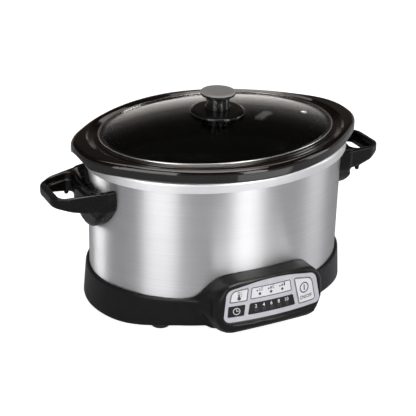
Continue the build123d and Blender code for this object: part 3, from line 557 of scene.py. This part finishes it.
CHANNEL = outline_points([(127.0, 178.6, 0.2), (129.0, 178.6, 0.55), (129.0, 183.8, 1.0), (127.65, 183.8, 0.28),
                          (127.65, 183.22, 0.2), (128.38, 183.22, 0.2), (128.38, 179.1, 0.2), (127.0, 179.1, 0.2)], 10)
P, F, G = sweep(CHANNEL, 0.757, 240)
edge_band = add_mesh("lid_edge_channel", P, F, "polished_steel", "lid", normals=G)
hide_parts("lid_band")


# ------------------------------------------------------------------ print on the control panel
def dense(poly, step=0.8):
    out = []
    for a, b in zip(poly, np.roll(poly, -1, 0)):
        k = max(1, int(math.ceil(np.hypot(*(b - a)) / step)))
        out += [a + (b - a) * i / k for i in range(k)]
    return np.array(out)


def offset(poly, d):
    """Closed anticlockwise outline moved inwards by d."""
    a, b = np.roll(poly, 1, 0), np.roll(poly, -1, 0)
    t = b - a
    t /= np.maximum(np.linalg.norm(t, axis=1, keepdims=True), 1e-9)
    return poly + d * np.stack([-t[:, 1], t[:, 0]], 1)


def plate(name, rows, lift, mat, body, base=0.0):
    """rows: list of (closed?, outer points, inner points) strips in the panel's plane, given a small thickness."""
    verts, faces = [], []
    for closed, A, B in rows:
        n = len(A)
        o = len(verts)
        for pts, lf in ((A, lift), (B, lift), (A, base), (B, base)):
            verts += list(on_panel(pts[:, 0], pts[:, 1], lf))
        for i in range(n if closed else n - 1):
            j = (i + 1) % n
            faces.append((o + i, o + j, o + n + j, o + n + i))
            faces.append((o + 2 * n + i, o + 3 * n + i, o + 3 * n + j, o + 2 * n + j))
            faces.append((o + 2 * n + i, o + 2 * n + j, o + j, o + i))
            faces.append((o + 3 * n + i, o + n + i, o + n + j, o + 3 * n + j))
        if not closed:
            faces.append((o, o + n, o + 3 * n, o + 2 * n))
            faces.append((o + n - 1, o + 3 * n - 1, o + 4 * n - 1, o + 2 * n - 1)[::-1])
    return add_mesh(name, np.array(verts), faces, mat, body, smooth=False)


def ring_rows(poly, width):
    p = dense(poly)
    return (True, p, offset(p, width))


def fill_rows(poly, step=1.0):
    """A convex outline as one strip from its left end to its right end."""
    p = dense(poly, 0.25)
    us = np.linspace(p[:, 0].min() + 0.02, p[:, 0].max() - 0.02, max(4, int((np.ptp(p[:, 0])) / step)))
    lo, hi = [], []
    for u in us:
        a, b = p, np.roll(p, -1, 0)
        cr = (a[:, 0] - u) * (b[:, 0] - u) <= 0
        t = (u - a[cr, 0]) / np.where(np.abs(b[cr, 0] - a[cr, 0]) < 1e-9, 1e-9, b[cr, 0] - a[cr, 0])
        ws = a[cr, 1] + np.clip(t, 0, 1) * (b[cr, 1] - a[cr, 1])
        lo.append(ws.min())
        hi.append(ws.max())
    return (False, np.stack([us, lo], 1), np.stack([us, hi], 1))


def circle(cu, cw, r, n=28):
    t = np.arange(n) * 2 * math.pi / n
    return np.stack([cu + r * np.cos(t), cw + r * np.sin(t)], 1)


def bar(u0, w0, u1, w1, t):
    """A straight stroke of width t as a small outline."""
    d = np.array([u1 - u0, w1 - w0], float)
    d /= np.hypot(*d)
    q = np.array([-d[1], d[0]]) * t / 2
    a, b = np.array([u0, w0]), np.array([u1, w1])
    return np.array([a - q, b - q, b + q, a + q])


def text_piece(name, body_text, u, w, height, lift, mat, body, base=0.0, width=None):
    cu = bpy.data.curves.new(name, "FONT")
    cu.body = body_text
    cu.size = 1.0
    cu.offset = 0.014
    tmp = bpy.data.objects.new(name + "_tmp", cu)
    scene.collection.objects.link(tmp)
    dg = bpy.context.evaluated_depsgraph_get()
    me = bpy.data.meshes.new_from_object(tmp.evaluated_get(dg))
    co = np.array([v.co for v in me.vertices])
    fc = [tuple(p.vertices) for p in me.polygons]
    bpy.data.objects.remove(tmp)
    lo, hi = co[:, :2].min(0), co[:, :2].max(0)
    sy = height / (hi[1] - lo[1])
    sx = width / (hi[0] - lo[0]) if width else sy
    co2 = (co[:, :2] - (lo + hi) / 2) * np.array([sx, sy]) + np.array([u, w])
    top = on_panel(co2[:, 0], co2[:, 1], lift)
    low = on_panel(co2[:, 0], co2[:, 1], base)
    n = len(co)
    edge = {}
    for f in fc:
        for a, b in zip(f, f[1:] + f[:1]):
            edge[(a, b)] = edge.get((a, b), 0) + 1
    faces = [f for f in fc] + [tuple(i + n for i in f[::-1]) for f in fc]
    for (a, b) in list(edge):
        if (b, a) not in edge:
            faces.append((a + n, b + n, b, a))
    return add_mesh(name, np.concatenate([top, low]), faces, mat, body, smooth=False)


INK = 0.07
heat_win = outline_points([(-28.0, 2.9, 1.5), (19.8, 2.9, 1.5), (18.2, 15.1, 1.5), (-25.8, 15.1, 1.5)], 6)
num_win = outline_points([(-31.1, -13.0, 0.6), (23.1, -13.0, 0.6), (20.7, -1.2, 0.6), (-28.6, -1.2, 0.6)], 6)
plate("heat_window", [fill_rows(heat_win)], 0.04, "ink_light", "housing")
plate("heat_outline", [ring_rows(heat_win, 0.9)], INK, "ink_dark", "housing")
plate("hours_window", [fill_rows(num_win)], 0.05, "ink_window", "housing")
# clock face on the hours key
plate("hours_key_print", [ring_rows(circle(-42.8, -7.2, 3.7, 40), 0.7), fill_rows(bar(-42.8, -7.5, -42.8, -4.6, 0.7), 0.1),
                          fill_rows(bar(-43.1, -7.2, -40.6, -7.2, 0.7), 0.3)], KEY_PROUD + INK, "ink_light", "hours_button", base=KEY_PROUD - 0.02)
for i, u in enumerate((-17.3, -4.7, 8.3)):
    plate(f"heat_lamp_{i + 1}", [fill_rows(circle(u, 7.3, 1.5), 0.2)], INK, "ink_dark", "housing")
    # one, two or three rising bars stand for the heat level
    rows = []
    for k in range(3):
        b = u - 2.6 + k * 2.6
        hgt = 1.5 + 1.0 * k
        if k <= i:
            rows.append(fill_rows(bar(b, 10.2, b, 10.2 + hgt, 1.7), 0.4))
        else:
            o = bar(b, 10.2, b, 10.2 + hgt, 1.7)
            rows.append((True, o, o + (o.mean(0) - o) * np.array([0.42, 0.36 * 1.7 / hgt + 0.1])))
    plate(f"heat_mark_{i + 1}", rows, INK, "ink_dark", "housing")
for u, v, t in zip((-22.1, -13.6, -5.0, 3.6, 13.1), (-21.8, -13.2, -4.6, 4.2, 13.2), ("2", "4", "6", "8", "10")):
    text_piece(f"hour_{t}", t, u, -4.8, 3.7, 0.05 + INK, "ink_light", "housing", base=0.03)
    plate(f"hour_lamp_{t}", [ring_rows(circle(v, -9.2, 1.6), 0.4)], 0.05 + INK, "ink_lamp", "housing", base=0.03)
# key faces: a line just inside each light key, and a plain symbol
tk, pk = outline_points(TEMP_KEY, 6), outline_points(POWER_KEY, 6)
top, low = KEY_PROUD + INK, KEY_PROUD - 0.02
plate("temp_key_line", [ring_rows(offset(dense(tk), 0.05), 0.85)], top, "ink_dark", "temp_button", base=low)
plate("power_key_line", [ring_rows(offset(dense(pk), 0.05), 0.85)], top, "ink_dark", "power_button", base=low)
bulb = circle(-39.6, 5.8, 1.9, 32)
stem_out = outline_points([(-40.65, 6.2, 0), (-38.55, 6.2, 0), (-38.55, 13.0, 1.0), (-40.65, 13.0, 1.0)], 6)
plate("temp_key_print", [fill_rows(bulb, 0.2), ring_rows(stem_out, 0.5), fill_rows(bar(-39.6, 6.2, -39.6, 10.2, 0.85), 0.15),
                         fill_rows(bar(-37.8, 8.2, -36.2, 8.2, 0.55), 0.3), fill_rows(bar(-37.8, 10.0, -36.2, 10.0, 0.55), 0.3),
                         fill_rows(bar(-37.8, 11.8, -36.2, 11.8, 0.55), 0.3)], top, "ink_dark", "temp_button", base=low)
plate("power_ring", [ring_rows(circle(35.2, 2.3, 5.8, 56), 1.25), fill_rows(bar(35.2, -0.7, 35.2, 5.3, 1.4), 0.2)], top, "ink_dark", "power_button", base=low)
text_piece("power_text", "ON/OFF", 37.0, -7.8, 3.9, top, "ink_dark", "power_button", base=low, width=15.6)

# ------------------------------------------------------------------ floor and light
def floor_plane(name, z, lo, hi, glow):
    bpy.ops.mesh.primitive_plane_add(size=14.0, location=(0, 0, z))
    ob = bpy.context.object
    ob.name = name
    mt, nt, bs = new_mat(name)
    nt.links.new(ramp(nt, noise(nt, 3.0, 2.0), lo, hi), bs.inputs["Base Color"])
    bs.inputs["Roughness"].default_value = 0.9
    bs.inputs["Specular IOR Level"].default_value = 0.0
    bs.inputs["Emission Color"].default_value = (1.0, 1.0, 1.0, 1.0)
    bs.inputs["Emission Strength"].default_value = glow
    ob.data.materials.append(mt)
    return ob


# the pale floor itself, and under it the dimmer studio floor that the object mirrors
floor = floor_plane("floor", -0.0002, (0.90, 0.90, 0.90), (0.93, 0.93, 0.93), FLOOR_GLOW)
floor.visible_diffuse = floor.visible_glossy = floor.visible_shadow = False
bounce = floor_plane("floor_bounce", -0.0004, (BOUNCE * 0.98, BOUNCE * 0.98, BOUNCE * 1.03), (BOUNCE, BOUNCE, BOUNCE * 1.05), 0.0)
bounce.visible_camera = bounce.visible_transmission = False

world = bpy.data.worlds.new("studio")
scene.world = world
world.use_nodes = True
wn = world.node_tree
bg = wn.nodes["Background"]
tc = wn.nodes.new("ShaderNodeTexCoord")
sep = wn.nodes.new("ShaderNodeSeparateXYZ")
wr = wn.nodes.new("ShaderNodeValToRGB")
while len(wr.color_ramp.elements) < len(WORLD):
    wr.color_ramp.elements.new(0.5)
for e, (pos, val) in zip(wr.color_ramp.elements, WORLD):
    e.position = pos
    e.color = (val, val * 0.975, val * 0.95, 1.0)
wn.links.new(tc.outputs["Generated"], sep.inputs["Vector"])
wn.links.new(sep.outputs["Z"], wr.inputs["Fac"])
wn.links.new(wr.outputs["Color"], bg.inputs["Color"])
bg.inputs["Strength"].default_value = 1.0


def area_light(name, pos, aim, width, height, radiance, color=(1, 1, 1)):
    la = bpy.data.lights.new(name, "AREA")
    la.shape = "RECTANGLE"
    la.size, la.size_y = width, height
    la.energy = radiance * math.pi * width * height
    la.color = color
    ob = bpy.data.objects.new(name, la)
    scene.collection.objects.link(ob)
    ob.location = pos
    ob.rotation_mode = "QUATERNION"
    ob.rotation_quaternion = (Vector(aim) - Vector(pos)).to_track_quat("-Z", "Y")
    ob.visible_camera = False
    return ob


def panel_light(name, az_deg, dist, z0, z1, width, radiance, color=(1, 1, 1)):
    a = math.radians(az_deg)
    x, y, z = dist * math.sin(a), -dist * math.cos(a), (z0 + z1) / 2
    return area_light(name, (x, y, z), (0, 0, z), width, z1 - z0, radiance, color)


for args in LIGHTS:
    panel_light(*args)


def only_on(lights, pieces, name):
    col = bpy.data.collections.new(name)
    for ob in pieces:
        col.objects.link(ob)
    for la in lights:
        la.light_linking.receiver_collection = col


only_on([panel_light(*a) for a in SHELL_CARDS], [nodes["outer_shell"]], "shell_side")


def back_card(az_deg, dist, width, height, stops):
    a = math.radians(az_deg)
    cx, cy, tx, ty = dist * math.sin(a), -dist * math.cos(a), math.cos(a) * width / 2, math.sin(a) * width / 2
    me = bpy.data.meshes.new("back_card")
    me.from_pydata([(cx - tx, cy - ty, 0.0), (cx + tx, cy + ty, 0.0), (cx + tx, cy + ty, height), (cx - tx, cy - ty, height)], [], [(0, 1, 2, 3)])
    ob = bpy.data.objects.new("back_card", me)
    scene.collection.objects.link(ob)
    mt = bpy.data.materials.new("back_card")
    mt.use_nodes = True
    nt = mt.node_tree
    nt.nodes.remove(nt.nodes["Principled BSDF"])
    em = nt.nodes.new("ShaderNodeEmission")
    sp = nt.nodes.new("ShaderNodeSeparateXYZ")
    cr = nt.nodes.new("ShaderNodeValToRGB")
    while len(cr.color_ramp.elements) < len(stops):
        cr.color_ramp.elements.new(0.5)
    for e, (z, val) in zip(cr.color_ramp.elements, stops):
        e.position = z / height
        e.color = (val, val * WARM[1], val * WARM[2], 1.0)
    nt.links.new(coords(nt, (1.0, 1.0, 1.0 / height)), sp.inputs["Vector"])
    nt.links.new(sp.outputs["Z"], cr.inputs["Fac"])
    nt.links.new(cr.outputs["Color"], em.inputs["Color"])
    nt.links.new(em.outputs["Emission"], nt.nodes["Material Output"].inputs["Surface"])
    me.materials.append(mt)
    ob.visible_camera = ob.visible_diffuse = ob.visible_transmission = ob.visible_shadow = False


back_card(*BACK_CARD)
only_on([area_light("pod_fill", *POD_FILL)], [nodes["outer_shell"]], "shell_low")
only_on([area_light("moulding_top", *MOULDING_TOP, color=WARM)], [h1, skirt], "mouldings")
only_on([area_light("flange_card", *FLANGE_CARD, color=WARM), area_light("flange_front", *FLANGE_FRONT), area_light("glaze_top", *GLAZE_TOP, color=WARM)], [nodes["crock"]], "flange_side")
only_on([area_light(f"glint_{i + 1}", *g) for i, g in enumerate(GLINTS)], [nodes["glass_lid"]], "glass_side")
area_light("top_panel", *TOP)
